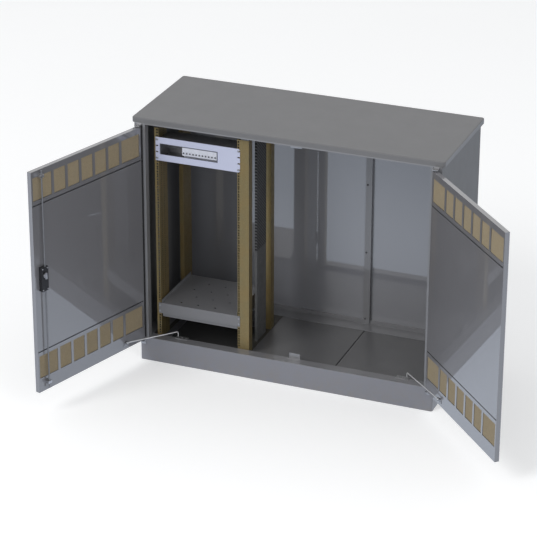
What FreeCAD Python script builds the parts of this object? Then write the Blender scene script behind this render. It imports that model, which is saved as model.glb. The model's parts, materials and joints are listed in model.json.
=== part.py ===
import FreeCAD, Part
import math
import os
import re
import Sketcher

# Double-door street cabinet of grey sheet steel on a plinth, with both doors open.
# Origin: centre of the plinth's underside. +X to the right, +Y to the rear, +Z up. Millimetres.

document = FreeCAD.newDocument("Cabinet")
sheet = document.addObject("Spreadsheet::Sheet", "Sizes")

sizes = {
    # plinth of two end channels and two side angles
    "plinthWidth": 1680,
    "plinthDepth": 660,
    "plinthHeight": 135,
    "plinthSheet": 3,
    "plinthReturn": 60,
    "plinthFoot": 45,
    "plinthCorner": 10,
    "anchorRadius": 7,
    "anchorInset": 90,
    # body of folded sheet
    "bodyWidth": 1700,
    "bodyDepth": 664,
    "wall": 2,
    # base frame around the floor
    "sillDepth": 58,
    "sillSheet": 3,
    "sillDrop": 20,
    "ledgeDepth": 100,
    "ledgeLap": 10,
    "ledgeInset": 10,
    "floorSheet": 2,
    "floorLap": 8,
    "floorSeam": 262,
    "floorGap": 2,
    "rackBayEdge": -238,
    # front posts with the seal's groove, header and rear joint post
    "postWidth": 58,
    "postDepth": 40,
    "sealWidth": 10,
    "sealDeep": 5,
    "sealInset": 14,
    "headerHeight": 7,
    "headerDepth": 58,
    "jointPostAcross": 243,
    "jointPostWidth": 36,
    "jointPostDepth": 20,
    "jointHoleRadius": 5,
    "jointHoleOffset": 7,
    "jointHoleLow": 149,
    "jointHolePitch": 402,
    "jointHoleCount": 3,
    # roof pan
    "roofWidth": 1730,
    "roofDepth": 680,
    "roofHeight": 29,
    "roofUnderside": 1391,
    "roofCorner": 14,
    "roofBevel": 4,
    "roofReturn": 34,
    "lapShare": 0.6,
    # doors and their hinges
    "doorThick": 25,
    "doorSheet": 2,
    "doorGap": 6,
    "doorEdge": 833,
    "doorMeeting": 3,
    "doorBottom": 132,
    "doorTopGap": 17,
    "doorChamfer": 6,
    "pivotAcross": 822,
    "pivotInset": 14,
    "leftOpen": 107.5,
    "rightOpen": 132.7,
    "pinRadius": 4,
    "pinLength": 11,
    "pinPlay": 0.05,
    "holeSlack": 1,
    "bracketSheet": 4,
    "bracketGap": 6,
    "bracketWidth": 28,
    "bracketReach": 34,
    "bracketLeg": 25,
    "legSheet": 3,
    # ventilation rows of the doors
    "ventMargin": 10,
    "narrowCount": 5,
    "ventWide": 137,
    "ventNarrow": 84,
    "ventRib": 18,
    "ventHeight": 128,
    "ventTopInset": 34,
    "ventBottomInset": 80,
    "ventBorder": 22,
    "panelSeam": 6,
    "padThick": 6,
    "frameLip": 8,
    "louvreLong": 246,
    "louvreHigh": 8,
    "louvrePitch": 24,
    "louvreCount": 5,
    "louvreColumns": 3,
    # lock of the left door
    "lockInset": 60,
    "lockHeight": 776,
    "caseWide": 46,
    "caseTall": 134,
    "caseDeep": 22,
    "caseOffset": 6,
    "knobRise": 22,
    "knobOffset": 9,
    "knobRadius": 12,
    "knobThick": 6,
    "leverWide": 10,
    "leverLong": 34,
    "leverDeep": 8,
    "spindleRadius": 5,
    "spindleDeep": 8,
    "spindleGap": 5.5,
    "rodRadius": 4,
    "rodStroke": 14,
    "rodProud": 16,
    "rodInCase": 20,
    "rodGap": 8,
    "guideWide": 26,
    "guideDeep": 23,
    "guideTall": 14,
    "guideInset": 24,
    "escutcheonWide": 50,
    "escutcheonTall": 150,
    "escutcheonThick": 3,
    # wire door stays
    "stayRadius": 3,
    "stayHeight": 174,
    "stayBend": 9,
    "leftSocket": 640,
    "rightSocket": 677,
    "socketInset": 58,
    "socketLong": 70,
    "socketWide": 30,
    "socketEnd": 12,
    "hookGap": 6,
    "leftFoot": 146,
    "rightFoot": 174,
    "stayOff": 12,
    "eyeRadius": 7,
    "eyeHeight": 6,
    "eyePlay": 0.3,
    "eyeLap": 1,
    "headRadius": 5,
    "stayPlate": 40,
    "stayShelf": 3,
    # equipment rack
    "rackCentre": -514.7,
    "rackFront": 60,
    "rackRear": 380,
    "rackBottom": 118,
    "railTall": 32,
    "rackSheet": 2,
    "rackOpening": 450,
    "rackHoleSpan": 465.1,
    "flangeNarrow": 24,
    "flangeWide": 66,
    "webDeep": 108,
    "webLip": 18,
    "returnDeep": 46,
    "unitPitch": 44.45,
    "unitFirst": 27.8,
    "holeFirst": 6.35,
    "holeStep": 15.875,
    "holeSide": 9.5,
    "holesPerUnit": 3,
    # breaker panel, three units high, with its chassis and row of modules
    "panelUnitsDown": 4,
    "panelWidth": 482.6,
    "panelHeight": 132.5,
    "panelSheet": 3,
    "panelChamfer": 8,
    "notchPitch": 35,
    "notchHigh": 8,
    "notchDeep": 14,
    "notchCount": 4,
    "windowLeft": 24,
    "windowWidth": 332,
    "windowBottom": 36,
    "windowHeight": 62,
    "chassisWide": 430,
    "chassisHigh": 120,
    "chassisDeep": 120,
    "chassisSheet": 1.5,
    "moduleWidth": 17.5,
    "modulePitch": 18,
    "moduleCount": 11,
    "moduleTall": 85,
    "moduleNose": 45,
    "noseDeep": 24,
    "moduleDeep": 66,
    "moduleRecess": 6,
    "moduleRight": 8,
    "railHeight": 35,
    "railLip": 5,
    "railDeep": 7.5,
    "railSheet": 1,
    # equipment shelf
    "shelfTop": 331,
    "shelfFace": 62,
    "shelfStep": 12,
    "shelfLip": 22,
    "shelfFaceWidth": 478,
    "shelfWidth": 440,
    "shelfDepth": 400,
    "shelfSheet": 2,
    "shelfWall": 20,
    "shelfHole": 11,
    "shelfHolePitch": 100,
    "shelfRowPitch": 90,
    "shelfColumns": 3,
    "shelfRows": 4,
    # tabs above the sill and under the header
    "tabAcross": 42,
    "tabWide": 62,
    "tabHigh": 30,
    "tabSheet": 3,
}

front = "-plinthDepth/2"
pivotBack = f"{front} - doorGap - pivotInset"
floorTop = "plinthHeight - sillDrop"
headerLow = "roofUnderside - headerHeight"
wallInside = "bodyWidth/2 - wall"
plinthInside = "plinthWidth/2 - plinthSheet"
rearInside = "bodyDepth - wall"
doorTop = "roofUnderside - doorTopGap"
rackTop = f"{headerLow} - railTall"
unitCount = f"floor(({rackTop} - rackBottom - unitFirst)/unitPitch)"
panelLow = f"rackBottom + unitFirst + ({unitCount} - panelUnitsDown)*unitPitch"
leftHoles = "rackCentre - rackHoleSpan/2"
rightHoles = "rackCentre + rackHoleSpan/2"
vector = FreeCAD.Vector
turns = {
    "x": FreeCAD.Rotation(vector(0, 1, 0), 90),
    "y": FreeCAD.Rotation(vector(1, 0, 0), -90),
    "z": FreeCAD.Rotation(),
}
nodes = []
known = {}
tiny = 1e-6


def fillSheet():
    for row, (name, number) in enumerate(sizes.items(), start=1):
        sheet.set(f"A{row}", name)
        sheet.set(f"B{row}", str(number))
        sheet.setAlias(f"B{row}", name)
    document.recompute()


def bound(text):
    # each size name in an expression becomes a reference to its cell
    def named(found):
        word = found.group(0)
        return "Sizes." + word if word in sizes else word
    return re.sub(r"[A-Za-z]\w*", named, str(text))


def bind(item, **links):
    for name, text in links.items():
        item.setExpression(name.replace("_", "."), bound(text))


def value(text):
    # the number that an expression stands for, read from a helper cell that is empty in the end
    if text not in known:
        sheet.set("D1", "=" + re.sub(r"Sizes\.", "", bound(text)))
        sheet.recompute()
        known[text] = float(sheet.get("D1"))
    return known[text]


def node(label, item):
    item.Label = label
    nodes.append(item)
    return item


def at(item, x=0, y=0, z=0):
    bind(item, Placement_Base_x=x, Placement_Base_y=y, Placement_Base_z=z)
    return item


def box(x, y, z, length, width, height):
    item = document.addObject("Part::Box", "Block")
    bind(item, Length=length, Width=width, Height=height)
    return at(item, x, y, z)


def rod(x, y, z, radius, length, along="z"):
    item = document.addObject("Part::Cylinder", "Rod")
    bind(item, Radius=radius, Height=length)
    item.Placement = FreeCAD.Placement(vector(), turns[along])
    return at(item, x, y, z)


def joined(*parts):
    item = document.addObject("Part::MultiFuse", "Joined")
    item.Shapes = list(parts)
    item.Refine = True
    return item


def grouped(*parts):
    item = document.addObject("Part::Compound", "Group")
    item.Links = list(parts)
    return item


def cut(base, *tools):
    item = document.addObject("Part::Cut", "Opened")
    item.Base = base
    item.Tool = tools[0] if len(tools) == 1 else grouped(*tools)
    return item


def body():
    return document.addObject("PartDesign::Body", "Body")


def sketch(owner, role, offset=0):
    item = owner.newObject("Sketcher::SketchObject", "Sketch")
    plane = next(feature for feature in owner.Origin.OriginFeatures if feature.Role == role)
    item.AttachmentSupport = [(plane, "")]
    item.MapMode = "FlatFace"
    bind(item, AttachmentOffset_Base_z=offset)
    return item


def fix(item, kind, curve, point, text):
    index = item.addConstraint(Sketcher.Constraint(kind, -1, 1, curve, point, value(text)))
    item.setExpression(f"Constraints[{index}]", bound(text))


def outline(item, points):
    first = item.GeometryCount
    corners = [vector(value(across), value(up), 0) for across, up in points]
    for start, end in zip(corners, corners[1:] + corners[:1]):
        item.addGeometry(Part.LineSegment(start, end), False)
    for n, (across, up) in enumerate(points):
        following = first + (n + 1) % len(points)
        item.addConstraint(Sketcher.Constraint("Coincident", first + n, 2, following, 1))
        fix(item, "DistanceX", first + n, 1, across)
        fix(item, "DistanceY", first + n, 1, up)
    return item


def rectangle(item, left, low, right, high):
    return outline(item, [(left, low), (right, low), (right, high), (left, high)])


def circle(item, across, up, radius):
    shape = Part.Circle(vector(value(across), value(up), 0), vector(0, 0, 1), value(radius))
    curve = item.addGeometry(shape, False)
    fix(item, "DistanceX", curve, 3, across)
    fix(item, "DistanceY", curve, 3, up)
    index = item.addConstraint(Sketcher.Constraint("Radius", curve, value(radius)))
    item.setExpression(f"Constraints[{index}]", bound(radius))
    return item


def pad(owner, profile, length, back=False):
    item = owner.newObject("PartDesign::Pad", "Pad")
    item.Profile = profile
    item.Reversed = back
    bind(item, Length=length)
    return item


def pocket(owner, profile, depth=None, back=False):
    item = owner.newObject("PartDesign::Pocket", "Pocket")
    item.Profile = profile
    item.Reversed = back
    if depth is None:
        item.Type = 1
    else:
        bind(item, Length=depth)
    return item


def row(owner, feature, profile, axis, length, count):
    item = owner.newObject("PartDesign::LinearPattern", "Row")
    item.Originals = [feature]
    item.Direction = (profile, [axis])
    bind(item, Length=length, Occurrences=count)
    owner.Tip = item
    return item


def verticalEdges(feature, test):
    document.recompute()
    found = []
    for n, edge in enumerate(feature.Shape.Edges, start=1):
        ends = [vertex.Point for vertex in edge.Vertexes]
        upright = len(ends) == 2 and math.dist(ends[0][:2], ends[1][:2]) < tiny
        if upright and test(ends[0]):
            found.append(f"Edge{n}")
    return found


# Plinth: outer face at local y 0, open at the top and towards the middle
def plinthEnd(label):
    owner = body()
    plan = rectangle(sketch(owner, "XY_Plane"), "-plinthWidth/2", "0", "plinthWidth/2", "plinthReturn")
    block = pad(owner, plan, "plinthHeight")
    corners = verticalEdges(block, lambda point: point.y < tiny)
    rounding = owner.newObject("PartDesign::Fillet", "Rounding")
    rounding.Base = (block, corners)
    bind(rounding, Radius="plinthCorner")
    document.recompute()
    faces = []
    for n, face in enumerate(rounding.Shape.Faces, start=1):
        middle = face.CenterOfMass
        isTop = abs(middle.z - value("plinthHeight")) < tiny
        isRear = abs(middle.y - value("plinthReturn")) < tiny
        if isTop or isRear:
            faces.append(f"Face{n}")
    shell = owner.newObject("PartDesign::Thickness", "Shell")
    shell.Base = (rounding, faces)
    shell.Reversed = True
    bind(shell, Value="plinthSheet")
    anchors = sketch(owner, "XY_Plane")
    for sign in ("-", ""):
        circle(anchors, f"{sign}(plinthWidth/2 - anchorInset)", "plinthReturn/2", "anchorRadius")
    pocket(owner, anchors, "plinthSheet", back=True)
    return node(label, owner)


def plinthSide():
    owner = body()
    section = outline(sketch(owner, "XZ_Plane"), [
        ("0", "0"), ("0", "plinthHeight"), ("-plinthSheet", "plinthHeight"),
        ("-plinthSheet", "plinthSheet"), ("-plinthFoot", "plinthSheet"), ("-plinthFoot", "0")])
    pad(owner, section, "plinthDepth - 2*plinthReturn", back=True)
    return owner


def halfTurn(item):
    item.Placement = FreeCAD.Placement(vector(), FreeCAD.Rotation(vector(0, 0, 1), 180))
    return item


def makePlinth():
    at(plinthEnd("plinth_front"), 0, front)
    at(halfTurn(plinthEnd("plinth_rear")), 0, "plinthDepth/2")
    right = at(plinthSide(), "plinthWidth/2", f"{front} + plinthReturn")
    left = at(halfTurn(plinthSide()), "-plinthWidth/2", "plinthDepth/2 - plinthReturn")
    node("plinth_sides", grouped(right, left))


# Base frame: sections in the Y-Z plane, local y 0 at the body's front
def alongWidth(points, reach=wallInside):
    owner = body()
    section = outline(sketch(owner, "YZ_Plane", f"-({reach})"), points)
    pad(owner, section, f"2*({reach})")
    return at(owner, 0, front)


def clearPlinthSides(owner, edge):
    # below the plinth's top the section is narrower, between the plinth's sides
    ends = sketch(owner, "XZ_Plane")
    rectangle(ends, "-bodyWidth/2", "0", f"-({edge})", "plinthHeight")
    rectangle(ends, edge, "0", "bodyWidth/2", "plinthHeight")
    pocket(owner, ends)


def rodHole(owner, low, depth):
    plan = sketch(owner, "XY_Plane", low)
    hole = circle(plan, "-(doorMeeting + lockInset)", "rodProud - doorGap", "rodRadius + holeSlack")
    pocket(owner, hole, depth, back=True)


def makeBaseFrame():
    top = "plinthHeight + sillSheet"
    sill = alongWidth([
        ("0", "plinthHeight"), ("0", top), ("sillDepth", top),
        ("sillDepth", floorTop), ("sillDepth - sillSheet", floorTop),
        ("sillDepth - sillSheet", "plinthHeight")])
    clearPlinthSides(sill, plinthInside)
    rodHole(sill, "plinthHeight", "sillSheet")
    node("front_sill", sill)
    riser = f"{rearInside} - ledgeLap"
    ledge = alongWidth([
        (f"{rearInside} - ledgeDepth", floorTop), (f"{rearInside} - ledgeDepth", f"{floorTop} + sillSheet"),
        (f"{riser} - sillSheet", f"{floorTop} + sillSheet"), (f"{riser} - sillSheet", top),
        (rearInside, top), (rearInside, "plinthHeight"),
        (riser, "plinthHeight"), (riser, floorTop)])
    clearPlinthSides(ledge, "plinthWidth/2 - ledgeInset")
    node("rear_ledge", ledge)
    node("side_sills", grouped(sideSill(1), halfTurnAt(sideSill(1))))


def sideSill(sign):
    owner = body()
    inner = f"{wallInside} - postWidth"
    top = "plinthHeight + sillSheet"
    section = outline(sketch(owner, "XZ_Plane", f"-({front} + sillDepth)"), [
        (wallInside, "plinthHeight"), (wallInside, top), (inner, top),
        (inner, floorTop), (f"{inner} + sillSheet", floorTop), (f"{inner} + sillSheet", "plinthHeight")])
    pad(owner, section, f"{rearInside} - ledgeDepth - sillDepth", back=True)
    return owner


def halfTurnAt(item):
    # the same angle on the other side, running over the same depth
    halfTurn(item)
    return at(item, 0, f"2*({front}) + {rearInside} - ledgeDepth + sillDepth")


def makeFloor():
    start = f"{front} + sillDepth - floorLap"
    length = f"{rearInside} - ledgeDepth - sillDepth + 2*floorLap"
    low = f"{floorTop} - floorSheet"
    middleWidth = "floorSeam - floorGap/2 - rackBayEdge"
    rightStart = "floorSeam + floorGap/2"
    middle = box("rackBayEdge", start, low, middleWidth, length, "floorSheet")
    right = box(rightStart, start, low, f"{plinthInside} - ({rightStart})", length, "floorSheet")
    node("floor_plates", grouped(middle, right))


# Body walls, posts, header, ceiling and roof
def makeWalls():
    height = "roofUnderside - plinthHeight"
    for label, x in (("left_wall", "-bodyWidth/2"), ("right_wall", wallInside)):
        node(label, box(x, front, "plinthHeight", "wall", "bodyDepth", height))
    back = f"{front} + {rearInside}"
    leftPart = f"jointPostAcross + {wallInside}"
    rightPart = f"{wallInside} - jointPostAcross"
    node("rear_wall_left", box(f"-({wallInside})", back, "plinthHeight", leftPart, "wall", height))
    node("rear_wall_right", box("jointPostAcross", back, "plinthHeight", rightPart, "wall", height))
    deep = f"{rearInside} - headerDepth"
    start = f"{front} + headerDepth"
    node("ceiling", box(f"-({wallInside})", start, headerLow, f"2*({wallInside})", deep, "wall"))


def frontPost(sign):
    # folded section: face, groove for the seal, inner edge strip and return to the rear
    owner = body()
    outer = wallInside
    inner = f"{wallInside} - postWidth"
    near = f"{inner} + sealInset"
    far = f"{near} + sealWidth"
    points = [
        (outer, "0"), (far, "0"), (far, "sealDeep"), (near, "sealDeep"), (near, "0"), (inner, "0"),
        (inner, "postDepth"), (f"{inner} + wall", "postDepth"), (f"{inner} + wall", "wall"),
        (f"{near} - wall", "wall"), (f"{near} - wall", "sealDeep + wall"),
        (f"{far} + wall", "sealDeep + wall"), (f"{far} + wall", "wall"), (outer, "wall")]
    section = outline(sketch(owner, "XY_Plane"), [(f"{sign}*({x})", y) for x, y in points])
    pad(owner, section, f"{headerLow} - plinthHeight - sillSheet")
    return at(owner, 0, front, "plinthHeight + sillSheet")


def makePosts():
    node("front_posts", grouped(frontPost(-1), frontPost(1)))
    near = f"{wallInside} - postWidth + sealInset"
    base = "plinthHeight + sillSheet"
    tall = f"{headerLow} - ({base})"
    seals = [box(x, front, base, "sealWidth", "sealDeep", tall) for x in (f"-({near}) - sealWidth", near)]
    node("door_seals", grouped(*seals))
    header = alongWidth([
        ("0", headerLow), ("headerDepth", headerLow), ("headerDepth", "roofUnderside"),
        ("headerDepth - wall", "roofUnderside"), ("headerDepth - wall", f"{headerLow} + wall"),
        ("wall", f"{headerLow} + wall"), ("wall", "roofUnderside"), ("0", "roofUnderside")])
    rodHole(header, headerLow, "wall")
    node("front_header", header)


def makeJointPost():
    # channel in front of the rear seam, its foot notched over the ledge's riser
    owner = body()
    left = "jointPostAcross - jointPostWidth/2"
    right = "jointPostAcross + jointPostWidth/2"
    face = f"{rearInside} - jointPostDepth"
    section = outline(sketch(owner, "XY_Plane", f"{floorTop} + sillSheet"), [
        (left, rearInside), (left, face), (right, face), (right, rearInside), (f"{right} - wall", rearInside),
        (f"{right} - wall", f"{face} + wall"), (f"{left} + wall", f"{face} + wall"),
        (f"{left} + wall", rearInside)])
    pad(owner, section, f"{headerLow} - ({floorTop}) - sillSheet")
    notch = sketch(owner, "YZ_Plane")
    start = f"{rearInside} - ledgeLap - sillSheet"
    rectangle(notch, start, "0", f"{rearInside} + wall", "plinthHeight + sillSheet")
    pocket(owner, notch, back=True)
    plan = sketch(owner, "XZ_Plane", f"-({face})")
    hole = circle(plan, "jointPostAcross - jointHoleOffset", "jointHoleLow", "jointHoleRadius")
    first = pocket(owner, hole, "wall")
    row(owner, first, hole, "V_Axis", "(jointHoleCount - 1)*jointHolePitch", "jointHoleCount")
    node("rear_joint_post", at(owner, 0, front))


def makeRoof():
    owner = body()
    plan = sketch(owner, "XY_Plane", "roofUnderside")
    rectangle(plan, "-roofWidth/2", "0", "roofWidth/2", "roofDepth")
    block = pad(owner, plan, "roofHeight")
    rounding = owner.newObject("PartDesign::Fillet", "Rounding")
    rounding.Base = (block, verticalEdges(block, lambda point: True))
    bind(rounding, Radius="roofCorner")
    document.recompute()
    top = []
    for n, edge in enumerate(rounding.Shape.Edges, start=1):
        if abs(edge.CenterOfMass.z - value("roofUnderside + roofHeight")) < tiny:
            top.append(f"Edge{n}")
    bevel = owner.newObject("PartDesign::Chamfer", "Bevel")
    bevel.Base = (rounding, top[:1])
    bind(bevel, Size="roofBevel")
    document.recompute()
    under = []
    for n, face in enumerate(bevel.Shape.Faces, start=1):
        if abs(face.CenterOfMass.z - value("roofUnderside")) < tiny:
            under.append(f"Face{n}")
    shell = owner.newObject("PartDesign::Thickness", "Shell")
    shell.Base = (bevel, under)
    shell.Reversed = True
    bind(shell, Value="wall")
    roofFlange(owner)
    node("roof", at(owner, 0, front))


def roofFlange(owner):
    # return under the pan: its outline ends within the shell's wall, also round the corners
    flange = sketch(owner, "XY_Plane", "roofUnderside")
    inset = "lapShare*wall"
    turn = "lapShare*roofCorner"
    side = f"(roofWidth/2 - {inset})"
    bend = f"(roofWidth/2 - {turn})"
    outline(flange, [
        (f"-{bend}", inset), (bend, inset), (side, turn), (side, f"roofDepth - {turn}"),
        (bend, f"roofDepth - {inset}"), (f"-{bend}", f"roofDepth - {inset}"),
        (f"-{side}", f"roofDepth - {turn}"), (f"-{side}", turn)])
    inner = "roofWidth/2 - roofReturn"
    rectangle(flange, f"-({inner})", "roofReturn", inner, "roofDepth - roofReturn")
    pad(owner, flange, "wall")


def makeTabs():
    back = f"{front} + sillDepth - tabSheet"
    tabs = []
    for z in ("plinthHeight + sillSheet", f"{headerLow} - tabHigh"):
        tabs.append(box("tabAcross - tabWide/2", back, z, "tabWide", "tabSheet", "tabHigh"))
    node("door_stop_tabs", grouped(*tabs))


# Hinge brackets on the body, two for each door.
def hingeBracket(sign, plateLow, legLow, legHigh):
    across = f"{sign}*pivotAcross"
    start = f"{across} - bracketWidth/2"
    plate = box(start, f"{front} - bracketReach", plateLow, "bracketWidth", "bracketReach", "bracketSheet")
    leg = box(start, f"{front} - legSheet", legLow, "bracketWidth", "legSheet", f"{legHigh} - ({legLow})")
    bore = rod(across, pivotBack, plateLow, "pinRadius + pinPlay", "bracketSheet")
    return cut(joined(plate, leg), bore)


def makeBrackets():
    lower = "doorBottom - bracketGap - bracketSheet"
    upper = f"{doorTop} + bracketGap"
    found = []
    for sign in (-1, 1):
        found.append(hingeBracket(sign, lower, f"{lower} - bracketLeg", f"{lower} + bracketSheet"))
        found.append(hingeBracket(sign, upper, upper, "roofUnderside"))
    node("hinge_brackets", grouped(*found))


def staySocket(sign, across):
    # plate behind the sill's edge with a round hole for the stay's hook
    near = f"{sign}*({across} + socketEnd)"
    low = "plinthHeight + sillSheet"
    start = near if sign < 0 else f"{near} - socketLong"
    plate = box(start, f"{front} + socketInset - socketWide/2", low, "socketLong", "socketWide", "sillSheet")
    hole = rod(f"{sign}*({across})", f"{front} + socketInset", low, "stayRadius + holeSlack", "sillSheet")
    return cut(plate, hole)


def makeSockets():
    node("stay_sockets", grouped(staySocket(-1, "leftSocket"), staySocket(1, "rightSocket")))


# Equipment rack: uprights with square unit holes, base and top rails.
def hang(owner, points, depth):
    section = outline(sketch(owner, "XY_Plane"), points)
    pad(owner, section, f"{rackTop} - rackBottom")
    return at(owner, 0, f"{front} + {depth}", "rackBottom")


def unitHoles(owner, across):
    holes = sketch(owner, "XZ_Plane")
    for n in range(int(value("holesPerUnit"))):
        middle = f"unitFirst + holeFirst + {n}*holeStep"
        left = f"{across} - holeSide/2"
        right = f"{across} + holeSide/2"
        rectangle(holes, left, f"{middle} - holeSide/2", right, f"{middle} + holeSide/2")
    first = pocket(owner, holes, "rackSheet")
    row(owner, first, holes, "V_Axis", f"({unitCount} - 1)*unitPitch", unitCount)
    return owner


def leftUpright(depth):
    edge = "rackCentre - rackOpening/2"
    return hang(body(), [
        (f"{edge} - flangeNarrow", "0"), (edge, "0"), (edge, "webDeep"), (f"{edge} - webLip", "webDeep"),
        (f"{edge} - webLip", "webDeep - rackSheet"), (f"{edge} - rackSheet", "webDeep - rackSheet"),
        (f"{edge} - rackSheet", "rackSheet"), (f"{edge} - flangeNarrow", "rackSheet")], depth)


def rightUpright(depth):
    edge = "rackCentre + rackOpening/2"
    far = f"{edge} + flangeWide"
    return hang(body(), [
        (edge, "0"), (far, "0"), (far, "returnDeep"), (f"{far} - rackSheet", "returnDeep"),
        (f"{far} - rackSheet", "rackSheet"), (f"{edge} + rackSheet", "rackSheet"),
        (f"{edge} + rackSheet", "returnDeep"), (edge, "returnDeep")], depth)


def topRail(x, width):
    # channel between the uprights' tops and the ceiling, open downwards
    start = f"{front} + rackFront"
    reach = "rackRear + webDeep - rackFront"
    outer = box(x, start, rackTop, width, reach, "railTall")
    inner = box(f"{x} + rackSheet", start, rackTop, f"{width} - 2*rackSheet", reach, "railTall - rackSheet")
    return cut(outer, inner)


def makeRack():
    node("rack_upright_front_left", unitHoles(leftUpright("rackFront"), leftHoles))
    node("rack_upright_front_right", unitHoles(rightUpright("rackFront"), rightHoles))
    node("rack_upright_rear_left", leftUpright("rackRear"))
    node("rack_upright_rear_right", rightUpright("rackRear"))
    leftStart = "rackCentre - rackOpening/2 - flangeNarrow"
    rightStart = "rackCentre + rackOpening/2"
    reach = f"{rearInside} - ledgeDepth - sillDepth"
    base = []
    top = []
    for x, width in ((leftStart, "flangeNarrow"), (rightStart, "flangeWide")):
        base.append(box(x, f"{front} + sillDepth", floorTop, width, reach, f"rackBottom - ({floorTop})"))
        top.append(topRail(x, width))
    node("rack_base_rails", grouped(*base))
    node("rack_top_rails", grouped(*top))


# Breaker panel with chassis, mounting rail and modules.
def makeBreakerPanel():
    owner = body()
    half = "panelWidth/2"
    left = f"rackCentre - {half}"
    right = f"rackCentre + {half}"
    plate = outline(sketch(owner, "XZ_Plane"), [
        (left, "0"), (f"{right} - panelChamfer", "0"), (right, "panelChamfer"),
        (right, "panelHeight - panelChamfer"), (f"{right} - panelChamfer", "panelHeight"),
        (left, "panelHeight")])
    pad(owner, plate, "panelSheet")
    window = sketch(owner, "XZ_Plane")
    near = f"{left} + windowLeft"
    rectangle(window, near, "windowBottom", f"{near} + windowWidth", "windowBottom + windowHeight")
    pocket(owner, window, back=True)
    # open notches on the right edge, closed slots near the left one
    notches = sketch(owner, "XZ_Plane")
    for n in range(int(value("notchCount"))):
        middle = f"panelHeight/2 + ({n} - (notchCount - 1)/2)*notchPitch"
        low = f"{middle} - notchHigh/2"
        high = f"{middle} + notchHigh/2"
        rectangle(notches, f"{right} - notchDeep", low, f"{right} + notchDeep", high)
        rectangle(notches, f"{leftHoles} - notchDeep/2", low, f"{leftHoles} + notchDeep/2", high)
    pocket(owner, notches, back=True)
    node("breaker_panel", at(owner, 0, f"{front} + rackFront", panelLow))


def makeBreakers():
    low = f"{panelLow} + (panelHeight - chassisHigh)/2"
    back = f"{front} + rackFront"
    outer = box("rackCentre - chassisWide/2", back, low, "chassisWide", "chassisDeep", "chassisHigh")
    inner = box("rackCentre - chassisWide/2 + chassisSheet", back, f"{low} + chassisSheet",
                "chassisWide - 2*chassisSheet", "chassisDeep - chassisSheet", "chassisHigh - 2*chassisSheet")
    node("breaker_chassis", cut(outer, inner))
    middle = f"{panelLow} + windowBottom + windowHeight/2"
    railFace = "moduleRecess + moduleDeep"
    owner = body()
    lip = "railHeight/2 - railLip"
    skin = f"{railFace} + railSheet"
    section = outline(sketch(owner, "YZ_Plane", "rackCentre - chassisWide/2 + chassisSheet"), [
        (railFace, "-railHeight/2"), (railFace, f"-({lip})"), (f"{railFace} + railDeep", f"-({lip})"),
        (f"{railFace} + railDeep", lip), (railFace, lip), (railFace, "railHeight/2"),
        (skin, "railHeight/2"), (skin, f"{lip} + railSheet"), (f"{skin} + railDeep", f"{lip} + railSheet"),
        (f"{skin} + railDeep", f"-({lip}) - railSheet"), (skin, f"-({lip}) - railSheet"),
        (skin, "-railHeight/2")])
    pad(owner, section, "chassisWide - 2*chassisSheet")
    node("mounting_rail", at(owner, 0, back, middle))
    last = "rackCentre - panelWidth/2 + windowLeft + windowWidth - moduleRight"
    modules = []
    for n in range(int(value("moduleCount"))):
        modules.append(at(breakerModule(), f"{last} - {n + 1}*modulePitch", f"{back} + moduleRecess", middle))
    node("breaker_row", grouped(*modules))


def breakerModule():
    owner = body()
    section = outline(sketch(owner, "YZ_Plane"), [
        ("0", "-moduleNose/2"), ("noseDeep", "-moduleNose/2"), ("noseDeep", "-moduleTall/2"),
        ("moduleDeep", "-moduleTall/2"), ("moduleDeep", "moduleTall/2"), ("noseDeep", "moduleTall/2"),
        ("noseDeep", "moduleNose/2"), ("0", "moduleNose/2")])
    pad(owner, section, "moduleWidth")
    return owner


def makeShelf():
    left = "rackCentre - shelfWidth/2"
    far = "rackCentre + shelfWidth/2 - shelfSheet"
    back = f"{front} + rackFront"
    face = f"{back} - shelfSheet"
    top = "shelfTop - shelfSheet"
    low = "shelfTop - shelfFace"
    parts = [
        box("rackCentre - shelfFaceWidth/2", face, low, "shelfFaceWidth", "shelfSheet", "shelfFace"),
        box(left, face, top, "shelfWidth", "shelfDepth", "shelfSheet"),
        box(left, face, low, "shelfWidth", "shelfStep + shelfSheet", "shelfSheet"),
        box(left, f"{face} + shelfStep", f"{low} - shelfLip", "shelfWidth", "shelfSheet",
            "shelfLip + shelfSheet")]
    for x in (left, far):
        parts.append(box(x, back, low, "shelfSheet", "shelfDepth - shelfSheet", "shelfFace + shelfWall"))
    node("equipment_shelf", cut(joined(*parts), *shelfHoles(back, top)))


def shelfHoles(back, top):
    # square holes in staggered rows
    holes = []
    for n in range(int(value("shelfRows"))):
        for m in range(int(value("shelfColumns"))):
            middle = f"rackCentre + ({m} - (shelfColumns - 1)/2 + ({n % 2} - 1/2)/2)*shelfHolePitch"
            depth = f"{back} + ({n} + 1/2)*shelfRowPitch"
            holes.append(box(f"{middle} - shelfHole/2", f"{depth} - shelfHole/2", top,
                             "shelfHole", "shelfHole", "shelfSheet"))
    return holes


# Doors: local origin on the hinge axis, local y 0 at the axis, shut position.
# The free edge lies at +X on the left door and at -X on the right one.
freeEdge = "pivotAcross - doorMeeting"
tail = "doorEdge - pivotAcross"
innerFace = "pivotInset"
sheetBack = "pivotInset - doorSheet"
cavityStart = f"-({tail}) + doorChamfer + doorSheet"
cavityEnd = f"{freeEdge} - doorSheet"
ventStart = f"{freeEdge} - ventMargin"
ventLength = "2*ventWide + narrowCount*ventNarrow + (narrowCount + 1)*ventRib"
upperVent = f"{doorTop} - ventTopInset - ventHeight"
lowerVent = "doorBottom + ventBottomInset"
rodPlace = f"{freeEdge} - lockInset"
wireStart = "eyeRadius - eyeLap"
hookDrop = "stayHeight - plinthHeight - 2*sillSheet - hookGap"


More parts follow.
